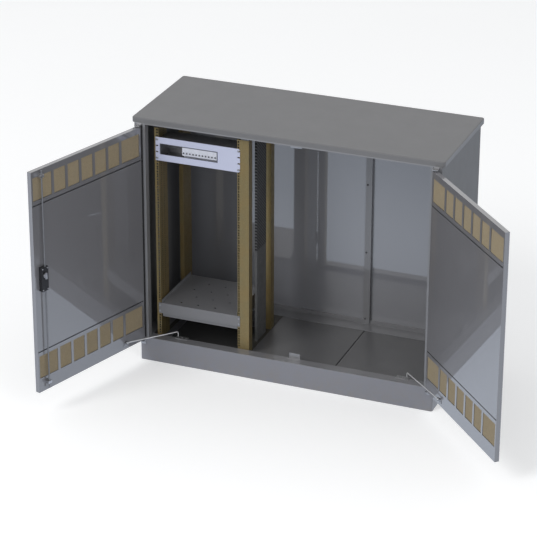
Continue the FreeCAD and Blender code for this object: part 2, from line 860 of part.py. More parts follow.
def swing(item, side):
    angle = "leftOpen" if side > 0 else "rightOpen"
    item.Placement = FreeCAD.Placement(vector(), FreeCAD.Rotation(vector(0, 0, -side), 1))
    bind(item, Placement_Rotation_Angle=angle)
    return at(item, f"{-side}*pivotAcross", pivotBack)


def doorBox(side, near, far, y, z, width, height):
    # a block between two distances from the hinge axis
    start = near if side > 0 else f"-({far})"
    return box(start, y, z, f"{far} - ({near})", width, height)


def doorRectangle(item, side, near, low, far, high):
    start, end = (near, far) if side > 0 else (f"-({far})", f"-({near})")
    return rectangle(item, start, low, end, high)


def doorSkin(side):
    owner = body()
    outer = "pivotInset - doorThick"
    plan = [(f"-({tail})", outer), (freeEdge, outer), (freeEdge, innerFace),
            (f"-({tail}) + doorChamfer", innerFace), (f"-({tail})", f"{innerFace} - doorChamfer")]
    profile = outline(sketch(owner, "XY_Plane", "doorBottom"), [(f"{side}*({x})", y) for x, y in plan])
    pad(owner, profile, f"{doorTop} - doorBottom")
    hollow = sketch(owner, "XZ_Plane", f"-({innerFace})")
    doorRectangle(hollow, side, cavityStart, "doorBottom + doorSheet", cavityEnd, f"{doorTop} - doorSheet")
    pocket(owner, hollow, "doorThick - doorSheet", back=True)
    for low in (upperVent, lowerVent):
        slots = sketch(owner, "XZ_Plane", f"-({outer})")
        bottom = f"{low} + (ventHeight - (louvreCount - 1)*louvrePitch - louvreHigh)/2"
        for n in range(int(value("louvreColumns"))):
            far = f"{ventStart} - {n}*({ventLength} - louvreLong)/(louvreColumns - 1)"
            doorRectangle(slots, side, f"{far} - louvreLong", bottom, far, f"{bottom} + louvreHigh")
        first = pocket(owner, slots, "doorSheet")
        row(owner, first, slots, "V_Axis", "(louvreCount - 1)*louvrePitch", "louvreCount")
    return owner


def ventCover(side, low, high, windowLow):
    owner = body()
    plate = sketch(owner, "XZ_Plane", f"-({sheetBack})")
    doorRectangle(plate, side, cavityStart, low, cavityEnd, high)
    pad(owner, plate, "doorSheet", back=True)
    windows = sketch(owner, "XZ_Plane", f"-({sheetBack})")
    far = ventStart
    for width in ["ventWide"] + ["ventNarrow"] * int(value("narrowCount")) + ["ventWide"]:
        near = f"{far} - {width}"
        doorRectangle(windows, side, near, windowLow, far, f"{windowLow} + ventHeight")
        far = f"{near} - ventRib"
    pocket(owner, windows, "doorSheet")
    return owner


def filterFrame(side, low):
    # tray behind the windows with a lip that holds the filter mat from the rear
    near = f"{ventStart} - ({ventLength})"
    back = f"{sheetBack} - padThick"
    rear = f"{back} - doorSheet"
    outer = doorBox(side, f"{near} - doorSheet", f"{ventStart} + doorSheet", rear, f"{low} - doorSheet",
                    "padThick + doorSheet", "ventHeight + 2*doorSheet")
    seat = doorBox(side, near, ventStart, back, low, "padThick", "ventHeight")
    mouth = doorBox(side, f"{near} + frameLip", f"{ventStart} - frameLip", rear, f"{low} + frameLip",
                    "doorSheet", "ventHeight - 2*frameLip")
    return cut(outer, joined(seat, mouth))


def filterPad(side, low):
    near = f"{ventStart} - ({ventLength})"
    return doorBox(side, near, ventStart, f"{sheetBack} - padThick", low, "padThick", "ventHeight")


def hingePins(side):
    return [rod(0, 0, z, "pinRadius", "pinLength") for z in ("doorBottom - pinLength", doorTop)]


def stayBracket(side, foot):
    # foot plate on the door, shelf below the stay's eye and a headed pin through it
    shelfHigh = "stayHeight - eyeHeight/2 - eyePlay"
    shelfLow = f"{shelfHigh} - stayShelf"
    pinHigh = f"{shelfHigh} + eyeHeight + 2*eyePlay"
    across = f"{side}*({foot})"
    depth = f"{innerFace} + stayOff"
    plate = doorBox(side, f"{foot} - stayPlate/2", f"{foot} + stayPlate/2", innerFace,
                    f"{shelfHigh} - stayPlate/2", "doorSheet", "stayPlate/2")
    shelf = doorBox(side, f"{foot} - eyeRadius", f"{foot} + eyeRadius", innerFace, shelfLow,
                    "stayOff + eyeRadius", "stayShelf")
    pin = rod(across, depth, shelfLow, "stayRadius", f"{pinHigh} + doorSheet - ({shelfLow})")
    head = rod(across, depth, pinHigh, "headRadius", "doorSheet")
    return joined(plate, shelf, pin, head)


def doorPanel(side):
    low = f"{lowerVent} + ventHeight + ventBorder + panelSeam"
    high = f"{upperVent} - ventBorder - panelSeam"
    return doorBox(side, cavityStart, cavityEnd, sheetBack, low, "doorSheet", f"{high} - ({low})")


def makeDoor(name, side, foot):
    lowCover = ventCover(side, "doorBottom + doorSheet", f"{lowerVent} + ventHeight + ventBorder", lowerVent)
    highCover = ventCover(side, f"{upperVent} - ventBorder", f"{doorTop} - doorSheet", upperVent)
    parts = {
        "door_skin": [doorSkin(side)],
        "door_panel": [doorPanel(side)],
        "vent_covers": [lowCover, highCover],
        "filter_frames": [filterFrame(side, lowerVent), filterFrame(side, upperVent)],
        "filter_mats": [filterPad(side, lowerVent), filterPad(side, upperVent)],
        "hinge_pins": hingePins(side),
        "stay_bracket": [stayBracket(side, foot)],
    }
    for part, pieces in parts.items():
        node(f"{name}_{part}", swing(grouped(*pieces), side))


# Wire stay: eye at the local origin, wire along +X, hook turned down at the far end
def stayWire(length):
    owner = body()
    path = sketch(owner, "XZ_Plane")
    reach = value(length)
    bend = value("stayBend")
    start = vector(value(wireStart), 0, 0)
    centre = vector(reach - bend, -bend, 0)
    arc = Part.Circle(centre, vector(0, 0, 1), bend)
    path.addGeometry(Part.LineSegment(start, vector(reach - bend, 0, 0)), False)
    path.addGeometry(Part.ArcOfCircle(arc, 0, math.pi / 2), False)
    path.addGeometry(Part.LineSegment(vector(reach, -bend, 0), vector(reach, -value(hookDrop), 0)), False)
    path.addConstraint(Sketcher.Constraint("Tangent", 0, 2, 1, 2))
    path.addConstraint(Sketcher.Constraint("Tangent", 1, 1, 2, 1))
    fix(path, "DistanceX", 0, 1, wireStart)
    fix(path, "DistanceY", 0, 1, "0")
    path.addConstraint(Sketcher.Constraint("Horizontal", 0))
    index = path.addConstraint(Sketcher.Constraint("Radius", 1, bend))
    path.setExpression(f"Constraints[{index}]", bound("stayBend"))
    fix(path, "DistanceX", 2, 2, length)
    fix(path, "DistanceY", 2, 2, f"-({hookDrop})")
    section = circle(sketch(owner, "YZ_Plane", wireStart), "0", "0", "stayRadius")
    wire = owner.newObject("PartDesign::AdditivePipe", "Wire")
    wire.Profile = section
    wire.Spine = (path, ["Edge1", "Edge2", "Edge3"])
    return owner


def stay(side, foot, socket):
    # the eye's place comes from the door's opening, the wire's length from the socket
    openAngle = "leftOpen" if side > 0 else "rightOpen"
    across = f"({foot})*cos({openAngle}) + ({innerFace} + stayOff)*sin({openAngle})"
    deep = f"({innerFace} + stayOff)*cos({openAngle}) - ({foot})*sin({openAngle})"
    gapAcross = f"(pivotAcross - ({across}) - {socket})"
    gapDeep = f"(socketInset + doorGap + pivotInset - ({deep}))"
    length = f"sqrt({gapAcross}^2 + {gapDeep}^2)"
    wire = stayWire(length)
    eye = rod(0, 0, "-eyeHeight/2", "eyeRadius", "eyeHeight")
    bore = rod(0, 0, "-eyeHeight/2", "stayRadius + pinPlay", "eyeHeight")
    item = cut(joined(wire, eye), bore)
    aim = f"atan({gapDeep}/({gapAcross}))"
    item.Placement = FreeCAD.Placement(vector(), FreeCAD.Rotation(vector(0, 0, 1), 1))
    bind(item, Placement_Rotation_Angle=aim if side > 0 else f"180 deg - {aim}")
    return at(item, f"{-side}*(pivotAcross - ({across}))", f"{pivotBack} + {deep}", "stayHeight")


def makeStays():
    node("left_stay", stay(1, "leftFoot", "leftSocket"))
    node("right_stay", stay(-1, "rightFoot", "rightSocket"))


# Lock of the left door: case, knob, two sliding rods, guides and outer plate.
faceDepth = f"{innerFace} + caseDeep"
rodDepth = f"{innerFace} + rodProud"
knobPlace = f"{rodPlace} + knobOffset"
knobHeight = "lockHeight + knobRise"
caseLow = "lockHeight - caseTall/2"
caseHigh = "lockHeight + caseTall/2"
slack = "rodRadius + pinPlay"


def lockCase():
    start = f"{rodPlace} + caseOffset - caseWide/2"
    depth = "rodInCase + rodStroke"
    seatDeep = "spindleDeep + spindleGap"
    case = box(start, innerFace, caseLow, "caseWide", "caseDeep", "caseTall")
    lower = rod(rodPlace, rodDepth, caseLow, slack, depth)
    upper = rod(rodPlace, rodDepth, f"{caseHigh} - ({depth})", slack, depth)
    seat = rod(knobPlace, f"{faceDepth} - ({seatDeep})", knobHeight, "spindleRadius + pinPlay", seatDeep, "y")
    return cut(case, lower, upper, seat)


def lockKnob():
    base = f"{faceDepth} + eyePlay"
    boss = rod(knobPlace, base, knobHeight, "knobRadius", "knobThick", "y")
    inner = f"{faceDepth} - spindleDeep"
    spindle = rod(knobPlace, inner, knobHeight, "spindleRadius", "spindleDeep + knobThick", "y")
    lever = box(f"{knobPlace} - leverWide/2", f"{base} + knobThick", f"{knobHeight} - leverLong/2",
                "leverWide", "leverDeep", "leverLong")
    return joined(boss, spindle, lever)


def rodGuides():
    guides = []
    for top in (f"{doorTop} - guideInset", f"{lowerVent} - guideInset"):
        base = f"{top} - guideTall"
        block = box(f"{rodPlace} - guideWide/2", innerFace, base, "guideWide", "guideDeep", "guideTall")
        guides.append(cut(block, rod(rodPlace, rodDepth, base, slack, "guideTall")))
    return guides


def escutcheon():
    outer = f"{innerFace} - doorThick - escutcheonThick"
    plate = box(f"{knobPlace} - escutcheonWide/2", outer, "lockHeight - escutcheonTall/2",
                "escutcheonWide", "escutcheonThick", "escutcheonTall")
    barrel = rod(knobPlace, f"{outer} - escutcheonThick", knobHeight, "knobRadius", "escutcheonThick", "y")
    return joined(plate, barrel)


def makeLock():
    lowerEnd = "plinthHeight + sillSheet + rodGap"
    upperEnd = f"{caseHigh} - rodInCase"
    upper = rod(rodPlace, rodDepth, upperEnd, "rodRadius", f"{doorTop} - ({upperEnd})")
    lower = rod(rodPlace, rodDepth, lowerEnd, "rodRadius", f"{caseLow} + rodInCase - ({lowerEnd})")
    parts = {
        "lock_case": [lockCase()],
        "lock_knob": [lockKnob()],
        "lock_rod_upper": [upper],
        "lock_rod_lower": [lower],
        "rod_guides": rodGuides(),
        "lock_escutcheon": [escutcheon()],
    }
    for label, pieces in parts.items():
        node(label, swing(grouped(*pieces), 1))


def checkAndWrite():
    sheet.clear("D1")
    document.recompute()
    for item in document.Objects:
        faults = [word for word in item.State if word in ("Invalid", "Error")]
        if faults:
            raise RuntimeError(f"{item.Label}: {faults}")
    os.makedirs("parts", exist_ok=True)
    for item in nodes:
        shape = item.Shape
        if shape.isNull() or not shape.isValid() or not shape.Solids:
            raise RuntimeError(f"{item.Label}: bad shape")
    for item in nodes:
        item.Shape.exportStep(f"parts/{item.Label}.step")
        size = item.Shape.BoundBox
        low = [round(v, 1) for v in (size.XMin, size.YMin, size.ZMin)]
        high = [round(v, 1) for v in (size.XMax, size.YMax, size.ZMax)]
        print(item.Label, len(item.Shape.Solids), round(item.Shape.Volume), low, high)


fillSheet()
makePlinth()
makeBaseFrame()
makeFloor()
makeWalls()
makePosts()
makeJointPost()
makeRoof()
makeTabs()
makeBrackets()
makeSockets()
makeRack()
makeBreakerPanel()
makeBreakers()
makeShelf()
makeDoor("left", 1, "leftFoot")
makeDoor("right", -1, "rightFoot")
makeStays()
makeLock()
checkAndWrite()
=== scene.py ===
import bpy
import math
from mathutils import Matrix, Vector
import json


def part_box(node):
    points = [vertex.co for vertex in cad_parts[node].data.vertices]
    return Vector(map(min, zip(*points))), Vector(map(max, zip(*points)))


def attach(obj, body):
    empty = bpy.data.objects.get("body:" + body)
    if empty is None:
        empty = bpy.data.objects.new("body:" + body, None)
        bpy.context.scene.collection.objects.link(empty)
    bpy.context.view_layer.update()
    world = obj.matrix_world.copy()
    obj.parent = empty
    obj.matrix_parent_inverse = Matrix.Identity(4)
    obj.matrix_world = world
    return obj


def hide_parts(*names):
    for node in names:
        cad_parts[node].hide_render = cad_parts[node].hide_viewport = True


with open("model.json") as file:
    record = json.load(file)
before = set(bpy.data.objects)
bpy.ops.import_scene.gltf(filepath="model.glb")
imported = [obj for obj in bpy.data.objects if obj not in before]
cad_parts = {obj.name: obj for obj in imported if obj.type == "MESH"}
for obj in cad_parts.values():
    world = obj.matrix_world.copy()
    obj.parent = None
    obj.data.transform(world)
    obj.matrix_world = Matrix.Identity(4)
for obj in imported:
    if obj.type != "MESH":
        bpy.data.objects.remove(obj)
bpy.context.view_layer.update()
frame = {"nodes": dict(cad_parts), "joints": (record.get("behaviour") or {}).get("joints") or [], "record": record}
print("frame loaded", len(frame["nodes"]), "nodes")


# Shader maths: one term of a material's node tree.
class Term:
    def __init__(self, graph, socket):
        self.graph = graph
        self.socket = socket

    def maths(self, kind, first, second):
        return self.graph.node("ShaderNodeMath", {"operation": kind}, {0: first, 1: second})

    def __add__(self, other):
        return self.maths("ADD", self, other)

    def __radd__(self, other):
        return self.maths("ADD", other, self)

    def __sub__(self, other):
        return self.maths("SUBTRACT", self, other)

    def __rsub__(self, other):
        return self.maths("SUBTRACT", other, self)

    def __mul__(self, other):
        return self.maths("MULTIPLY", self, other)

    def __rmul__(self, other):
        return self.maths("MULTIPLY", other, self)

    def __gt__(self, other):
        return self.maths("GREATER_THAN", self, other)

    def __lt__(self, other):
        return self.maths("LESS_THAN", self, other)

    def __mod__(self, other):
        return self.maths("FLOORED_MODULO", self, other)


class Graph:
    def __init__(self, tree):
        self.tree = tree

    def node(self, kind, settings=None, inputs=None, output=0):
        made = self.tree.nodes.new(kind)
        for name, value in (settings or {}).items():
            setattr(made, name, value)
        for name, value in (inputs or {}).items():
            self.feed(made.inputs[name], value)
        return Term(self, made.outputs[output])

    def feed(self, socket, value):
        if isinstance(value, Term):
            self.tree.links.new(value.socket, socket)
        else:
            socket.default_value = value

    def mix(self, share, first, second):
        return self.node("ShaderNodeMix", {"data_type": "RGBA"}, {0: share, 6: first, 7: second}, 2)

    def larger(self, first, second):
        return self.node("ShaderNodeMath", {"operation": "MAXIMUM"}, {0: first, 1: second})

    def seen(self):
        # 1 for rays from the camera and for those that mirror or pass on what it sees
        camera, glossy, passed = [self.node("ShaderNodeLightPath", output=f"Is {ray} Ray")
                                  for ray in ("Camera", "Glossy", "Transmission")]
        return self.larger(self.larger(camera, glossy), passed)


class Finish(Graph):
    def __init__(self, name):
        self.material = bpy.data.materials.new(name)
        self.material.use_nodes = True
        super().__init__(self.material.node_tree)
        self.shader = self.tree.nodes["Principled BSDF"]
        self.place = self.node("ShaderNodeTexCoord", output="Object")

    def put(self, **inputs):
        for name, value in inputs.items():
            self.feed(self.shader.inputs[name.replace("_", " ")], value)

    def axis(self, name):
        return self.node("ShaderNodeSeparateXYZ", inputs={"Vector": self.place}, output=name)

    def noise(self, scale, detail=3.0, rough=0.5, stretch=None):
        place = self.place
        if stretch:
            place = self.node("ShaderNodeMapping", inputs={"Vector": place, "Scale": stretch})
        return self.node("ShaderNodeTexNoise", inputs={
            "Vector": place, "Scale": scale, "Detail": detail, "Roughness": rough})

    def spread(self, value, low, high, start=0.0, end=1.0):
        return self.node("ShaderNodeMapRange", {"clamp": True}, {
            "Value": value, "From Min": low, "From Max": high, "To Min": start, "To Max": end})

    def within(self, value, low, high):
        return (value > low) * (high > value)

    def edges(self, reach):
        # 1 on an outer or inner edge within the reach, 0 on a flat face
        rounded = self.node("ShaderNodeBevel", {"samples": 4}, {"Radius": reach})
        flat = self.node("ShaderNodeNewGeometry", output="Normal")
        agree = self.node("ShaderNodeVectorMath", {"operation": "DOT_PRODUCT"}, {0: rounded, 1: flat},
                          "Value")
        return self.spread(1 - agree, 0.02, 0.25)

    def bump(self, height, strength, distance):
        rounded = self.node("ShaderNodeBevel", {"samples": 4}, {"Radius": 0.0008})
        return self.node("ShaderNodeBump", inputs={
            "Height": height, "Strength": strength, "Distance": distance, "Normal": rounded})

    def holes(self, across, along, wide, pitch, radius):
        # 1 inside the holes of a staggered pattern
        column = across % wide - wide / 2
        step = along % pitch - pitch / 2
        return column * column + step * step < radius ** 2


def shade(colour, by):
    return tuple(min(1.0, channel * by) for channel in colour) + (1.0,)


def paint(name, colour, rough, dusty=0.0, wear=0.35, gloss=0.0, seam=None):
    # gloss: share of a clear mirror coat over the colour
    # seam: x of a dark joint line with a painted highlight along its right edge
    graph = Finish(name)
    cloud = graph.spread(graph.noise(1.7, 4.0, 0.55), 0.3, 0.7)
    toned = graph.mix(cloud, shade(colour, 0.975), shade(colour, 1.025))
    grain = graph.spread(graph.noise(900, 2.0), 0.35, 0.65, 0.0, 0.16)
    grained = graph.mix(grain, toned, shade(colour, 0.86))
    chips = graph.edges(0.0012) * graph.spread(graph.noise(60, 4.0, 0.7), 0.5, 0.62) * wear
    chipped = graph.mix(chips, grained, shade(colour, 1.8))
    low = graph.spread(graph.axis("Z"), 0.0, 0.16, 1.0, 0.0)
    dust = low * graph.spread(graph.noise(26, 6.0, 0.65), 0.35, 0.75) * dusty
    streaks = graph.spread(graph.noise(14, 4.0, 0.6, (9, 9, 0.6)), 0.55, 0.85, 0.0, 0.07)
    streaked = graph.mix(streaks, chipped, shade(colour, 0.84))
    if seam:
        x = graph.axis("X")
        streaked = graph.mix(graph.within(x, seam - 0.0045, seam + 0.0035), streaked, shade(colour, 0.08))
        # painted highlight: a lighter strip along the right edge of the joint
        streaked = graph.mix(graph.within(x, seam + 0.0035, seam + 0.006), streaked, shade(colour, 1.5))
    graph.put(Base_Color=graph.mix(dust, streaked, (0.23, 0.2, 0.165, 1)))
    smudge = graph.spread(graph.noise(7, 6.0, 0.7), 0.3, 0.75, rough - 0.02, rough + 0.05)
    graph.put(Roughness=smudge + dust * 0.4, Coat_Weight=gloss, Coat_Roughness=0.02, Coat_IOR=1.95)
    graph.put(Normal=graph.bump(graph.noise(420, 3.0), 0.03, 0.0005))
    return graph.material


def zinc(name, colour, rough, metal=0.9, spangle=90):
    graph = Finish(name)
    cells = graph.node("ShaderNodeTexVoronoi", inputs={"Vector": graph.place, "Scale": spangle},
                       output="Color")
    tone = graph.node("ShaderNodeSeparateColor", inputs={"Color": cells}, output="Red")
    cloud = graph.spread(graph.noise(30, 5.0, 0.6), 0.3, 0.7, 0.0, 0.5)
    bright = graph.mix(tone * 0.6 + cloud * 0.5, shade(colour, 0.82), shade(colour, 1.12))
    wear = graph.edges(0.0008) * graph.spread(graph.noise(120, 3.0), 0.42, 0.6) * 0.5
    graph.put(Base_Color=graph.mix(wear, bright, shade(colour, 1.4)))
    graph.put(Roughness=graph.spread(tone + cloud, 0.0, 1.4, rough - 0.08, rough + 0.1), Metallic=metal)
    graph.put(Normal=graph.bump(graph.noise(700, 3.0), 0.08, 0.0004))
    return graph.material


def chromate():
    # yellow passivated zinc; small holes in two columns along the left uprights' webs
    graph = Finish("yellow_chromate")
    patch = graph.spread(graph.noise(9, 6.0, 0.65), 0.35, 0.68)
    hue = graph.mix(patch, (0.235, 0.17, 0.07, 1), (0.2, 0.165, 0.08, 1))
    fine = graph.spread(graph.noise(160, 4.0, 0.7), 0.4, 0.7, 0.0, 0.45)
    toned = graph.mix(fine, hue, (0.15, 0.1, 0.038, 1))
    wear = graph.edges(0.001) * graph.spread(graph.noise(90, 3.0), 0.42, 0.6) * 0.55
    worn = graph.mix(wear, toned, (0.45, 0.4, 0.32, 1))
    x, y, z = [graph.axis(name) for name in "XYZ"]
    web = {"x": -0.7398, "near": 0.003, "front": -0.222, "wide": 0.034, "pitch": 0.0127, "radius": 0.0032,
           "low": 0.13, "high": 1.34}
    inside = graph.holes(y - web["front"], z, web["wide"], web["pitch"], web["radius"])
    inside = inside * graph.within(y, web["front"] - web["wide"], web["front"] + web["wide"])
    inside = inside * graph.within(x, web["x"] - web["near"], web["x"] + web["near"])
    inside = inside * graph.within(z, web["low"], web["high"])
    graph.put(Base_Color=graph.mix(inside, worn, (0.012, 0.011, 0.01, 1)))
    graph.put(Roughness=graph.spread(graph.noise(45, 5.0, 0.6), 0.3, 0.7, 0.34, 0.5), Metallic=0.55)
    graph.put(Normal=graph.bump(graph.noise(600, 3.0), 0.08, 0.0004))
    return graph.material


def fleece():
    graph = Finish("filter_fleece")
    fibre = graph.noise(520, 6.0, 0.75)
    clumps = graph.spread(graph.noise(70, 5.0, 0.7), 0.3, 0.7)
    base = graph.mix(clumps, (0.21, 0.165, 0.1, 1), (0.28, 0.225, 0.145, 1))
    dust = graph.spread(graph.noise(12, 4.0, 0.6), 0.45, 0.8, 0.0, 0.5)
    grey = graph.mix(dust, base, (0.2, 0.18, 0.145, 1))
    graph.put(Base_Color=graph.mix(graph.spread(fibre, 0.35, 0.7), grey, (0.33, 0.275, 0.185, 1)))
    graph.put(Roughness=0.95, Normal=graph.bump(fibre + clumps * 0.6, 0.7, 0.0025))
    return graph.material


def plastic(name, colour, rough, metal=0.0):
    graph = Finish(name)
    cloud = graph.spread(graph.noise(40, 4.0, 0.6), 0.3, 0.7)
    tone = graph.mix(cloud, shade(colour, 0.93), shade(colour, 1.06))
    wear = graph.edges(0.0006) * graph.spread(graph.noise(200, 3.0), 0.45, 0.65) * 0.4
    graph.put(Base_Color=graph.mix(wear, tone, shade(colour, 1.5)), Metallic=metal)
    graph.put(Roughness=graph.spread(graph.noise(25, 4.0, 0.7), 0.3, 0.75, rough - 0.06, rough + 0.12))
    graph.put(Normal=graph.bump(graph.noise(1400, 2.0), 0.1, 0.0002))
    return graph.material


def perforated():
    # grey plate with staggered rows of holes in its upper part
    graph = Finish("perforated_steel")
    y, z = graph.axis("Y"), graph.axis("Z")
    wide, pitch, radius = 0.02, 0.018, 0.0055
    rows = graph.holes(y, z, wide, pitch, radius)
    between = graph.holes(y + wide / 2, z + pitch / 2, wide, pitch, radius)
    inside = graph.larger(rows, between) * graph.within(z, 0.66, 1.34)
    cloud = graph.spread(graph.noise(24, 5.0, 0.6), 0.3, 0.7)
    steel = graph.mix(cloud, (0.1, 0.1, 0.1, 1), (0.14, 0.14, 0.14, 1))
    wear = graph.edges(0.001) * graph.spread(graph.noise(90, 3.0), 0.42, 0.6) * 0.5
    worn = graph.mix(wear, steel, (0.3, 0.3, 0.3, 1))
    graph.put(Base_Color=graph.mix(inside, worn, (0.008, 0.007, 0.007, 1)))
    graph.put(Roughness=graph.spread(graph.noise(45, 5.0, 0.6), 0.3, 0.7, 0.4, 0.55), Metallic=0.3)
    graph.put(Normal=graph.bump(graph.noise(600, 3.0), 0.08, 0.0004))
    return graph.material


finishes = {
    "plinth_paint": paint("plinth_paint", (0.215, 0.219, 0.247), 0.34, dusty=0.45),
    "frame_paint": paint("frame_paint", (0.19, 0.19, 0.2), 0.3, gloss=0.3),
    # painted shade: the cabinet's inner floor takes a darker grey standing in for the shade under the roof; its
    # dust is real
    "floor_paint": paint("floor_paint", (0.115, 0.115, 0.119), 0.34, dusty=0.1, seam=0.262),
    "body_paint": paint("body_paint", (0.215, 0.218, 0.238), 0.34, wear=0.2, gloss=1.0),
    "roof_paint": paint("roof_paint", (0.146, 0.146, 0.151), 0.45),
    "door_paint": paint("door_paint", (0.163, 0.163, 0.176), 0.34, gloss=0.85),
    "panel_paint": paint("panel_paint", (0.5, 0.53, 0.68), 0.4, wear=0.15),
    "shelf_paint": paint("shelf_paint", (0.18, 0.18, 0.19), 0.38),
    "chromate": chromate(),
    "galvanised": zinc("galvanised_steel", (0.36, 0.36, 0.37), 0.42),
    "lock_metal": zinc("plated_lock_steel", (0.46, 0.46, 0.48), 0.36, spangle=260),
    "wire": zinc("bright_wire", (0.62, 0.62, 0.63), 0.35, metal=0.45, spangle=400),
    "seal": plastic("foam_seal", (0.022, 0.022, 0.023), 0.85),
    "filter_mat": fleece(),
    "module_plastic": plastic("module_plastic", (0.62, 0.64, 0.72), 0.36),
    "escutcheon_plastic": plastic("escutcheon_plastic", (0.035, 0.035, 0.038), 0.5),
}
plateSteel = perforated()
# painted shade: the rack's base and top rails take a near-black steel instead of their slot's chromate, standing
# in for the shade they sit in
railSteelPaintedShade = zinc("rail_steel_painted_shade", (0.075, 0.07, 0.06), 0.5, metal=0.4)
toggleBlack = plastic("toggle_plastic", (0.03, 0.032, 0.045), 0.4)
# painted shade: the inner side walls take a darker, duller copy of the body paint, standing in for the shade
# inside the cabinet
sideWallPaintedShade = paint("side_wall_painted_shade", (0.125, 0.125, 0.128), 0.5)
sideWallPaintedShade.node_tree.nodes["Principled BSDF"].inputs["Specular IOR Level"].default_value = 0.25
rodSteel = zinc("rod_steel", (0.2, 0.2, 0.21), 0.4, metal=0.6, spangle=260)
others = {
    "lock_rod_upper": rodSteel,
    "lock_rod_lower": rodSteel,
    # painted shade: the side walls get the darker copy of the body paint
    "left_wall": sideWallPaintedShade,
    "right_wall": sideWallPaintedShade,
    # painted shade: near-black steel on the rack rails in place of chromate
    "rack_base_rails": railSteelPaintedShade,
    "rack_top_rails": railSteelPaintedShade,
    "lock_case": plastic("lock_case_finish", (0.03, 0.03, 0.033), 0.3, 0.5),
}


def dress():
    # each piece takes its own finish from others, or else that of its slot
    for row in frame["record"]["subparts"]:
        piece = frame["nodes"][row["node"]]
        if not piece.material_slots:
            piece.data.materials.append(None)
        for place in piece.material_slots:
            place.link = "OBJECT"
            place.material = others.get(row["node"], finishes[row["material_slot"]])


dress()
print("materials made", len(finishes))


# Work with shut doors: each door's frame has its origin on the hinge axis and x towards the free edge.
hinges = {joint["child"]: joint for joint in frame["joints"] if joint["name"].endswith("door_hinge")}
lowest, highest = -1.0, 9.0


def doorFrame(door):
    joint = hinges[door]
    turn = -joint["axis"][2] * math.radians(joint["range_deg"][1])
    pivot = Vector((joint["pos_m"][0], joint["pos_m"][1], 0))
    return Matrix.Translation(pivot) @ Matrix.Rotation(turn, 4, "Z")


def localBox(node, door, low=lowest, high=highest):
    back = doorFrame(door).inverted()
    points = [back @ v.co for v in frame["nodes"][node].data.vertices if low < v.co.z < high]
    return [Vector([pick(p[i] for p in points) for i in range(3)]) for pick in (min, max)]


def settle(name, finish, body, turn=None):
    made = bpy.context.object
    made.name = name
    made.data.name = name
    if turn is not None:
        made.matrix_world = turn @ made.matrix_world
    bpy.ops.object.transform_apply(location=True, rotation=True, scale=True)
    made.data.materials.clear()
    made.data.materials.append(finish)
    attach(made, body)
    return made


def block(middle, size):
    bpy.ops.object.select_all(action="DESELECT")
    bpy.ops.mesh.primitive_cube_add(size=1, location=middle)
    bpy.context.object.scale = size
    bpy.ops.object.transform_apply(location=True, rotation=True, scale=True)
    return bpy.context.object


def joined(pieces):
    # the first piece, with the others joined to it
    bpy.ops.object.select_all(action="DESELECT")
    for piece in pieces:
        piece.select_set(True)
    bpy.context.view_layer.objects.active = pieces[0]
    if len(pieces) > 1:
        bpy.ops.object.join()
    return pieces[0]


def bevelled(piece, offset):
    bpy.ops.object.select_all(action="DESELECT")
    piece.select_set(True)
    bpy.context.view_layer.objects.active = piece
    bpy.ops.object.mode_set(mode="EDIT")
    bpy.ops.mesh.select_all(action="SELECT")
    bpy.ops.mesh.bevel(offset=offset, segments=2)
    bpy.ops.object.mode_set(mode="OBJECT")


# Filter mats: fleece pads with a rippled surface.
mats = {"cuts": 14, "softness": 0.0014, "rim": 0.0012, "splitHeight": 0.75, "cloud": 0.045, "smooth": 40}


def fleecePad(corner, far, clouds):
    pad = block((corner + far) / 2, far - corner)
    bpy.ops.object.mode_set(mode="EDIT")
    bpy.ops.mesh.select_all(action="SELECT")
    bpy.ops.mesh.bevel(offset=mats["rim"], segments=2)
    bpy.ops.mesh.select_all(action="SELECT")
    bpy.ops.mesh.subdivide(number_cuts=mats["cuts"])
    bpy.ops.object.mode_set(mode="OBJECT")
    ripple = pad.modifiers.new("ripple", "DISPLACE")
    ripple.texture = clouds
    ripple.texture_coords = "OBJECT"
    ripple.strength = mats["softness"]
    ripple.mid_level = 1.0
    bpy.ops.object.modifier_apply(modifier=ripple.name)
    bpy.ops.object.shade_smooth_by_angle(angle=math.radians(mats["smooth"]))
    return pad


def addMats():
    clouds = bpy.data.textures.new("mat_clouds", "CLOUDS")
    clouds.noise_scale = mats["cloud"]
    levels = {"lower": (lowest, mats["splitHeight"]), "upper": (mats["splitHeight"], highest)}
    for side in ("left", "right"):
        door = f"{side}_door"
        for level, (low, high) in levels.items():
            corner, far = localBox(f"{side}_filter_mats", door, low, high)
            mat = fleecePad(corner, far, clouds)
            settle(f"{side}_{level}_mat", finishes["filter_mat"], door, doorFrame(door))
            if level == "lower":
                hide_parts(f"{side}_filter_mats")


addMats()
print("filter mats made")


# Hexagon bolts with washers, modelled once and copied to each place.
bolts = {"washer": 0.0062, "washerHigh": 0.0012, "head": 0.0046, "headHigh": 0.0034,
         "bevel": 0.0004, "smooth": 35}
# Places in metres. What isn't here comes from the box of the piece that is held.
places = {
    "rack": (-0.74725, -0.28215), "panelRise": 0.0525, "shelf": (0.284, 0.316),
    "tabs": (0.024, 0.06), "tabHeights": (0.153, 1.369),
    "sockets": (-0.618, -0.594, 0.631, 0.655), "socketRow": -0.272,
    "bracket": 0.822, "bracketStep": 0.008, "bracketFront": -0.333, "bracketHeight": 0.108,
    "caseSide": 0.006, "caseEnd": 0.008, "footStep": 0.012, "footDeep": 0.002, "footRise": 0.008,
}
small, fine = 0.8, 0.6


